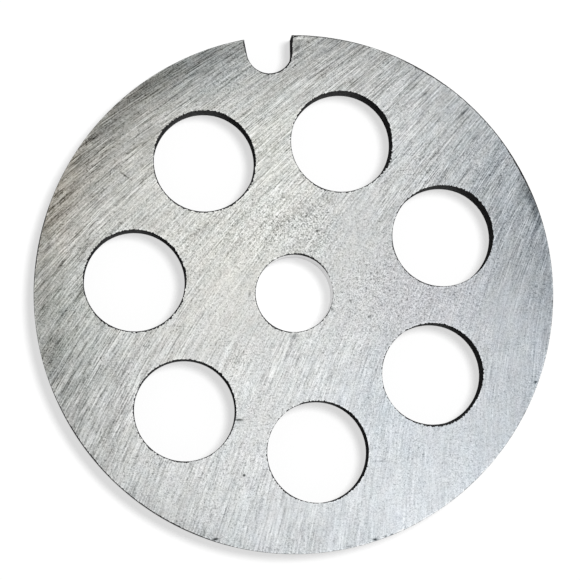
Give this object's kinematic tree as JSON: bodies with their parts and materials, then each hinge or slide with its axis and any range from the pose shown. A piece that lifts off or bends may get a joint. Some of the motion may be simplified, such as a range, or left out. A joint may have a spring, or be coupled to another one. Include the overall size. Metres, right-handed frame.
{
  "type": "meat grinder plate",
  "caption": "Flat round steel plate for a meat grinder, with a ring of large round holes, a centre bore and a rounded key notch in the rim.",
  "frame": {"origin": "centre of the centre bore, on the plate's underside", "axes": "+Z along the centre bore, from the underside to the ground top face; +Y from the bore to the key notch"},
  "size_m": [0.082, 0.0818, 0.0065],
  "materials": {
    "ground_steel": "surface-ground, with long curved grinding marks"
  },
  "bodies": {
    "root": {"grinder_plate": "ground_steel"}
  },
  "joints": []
}
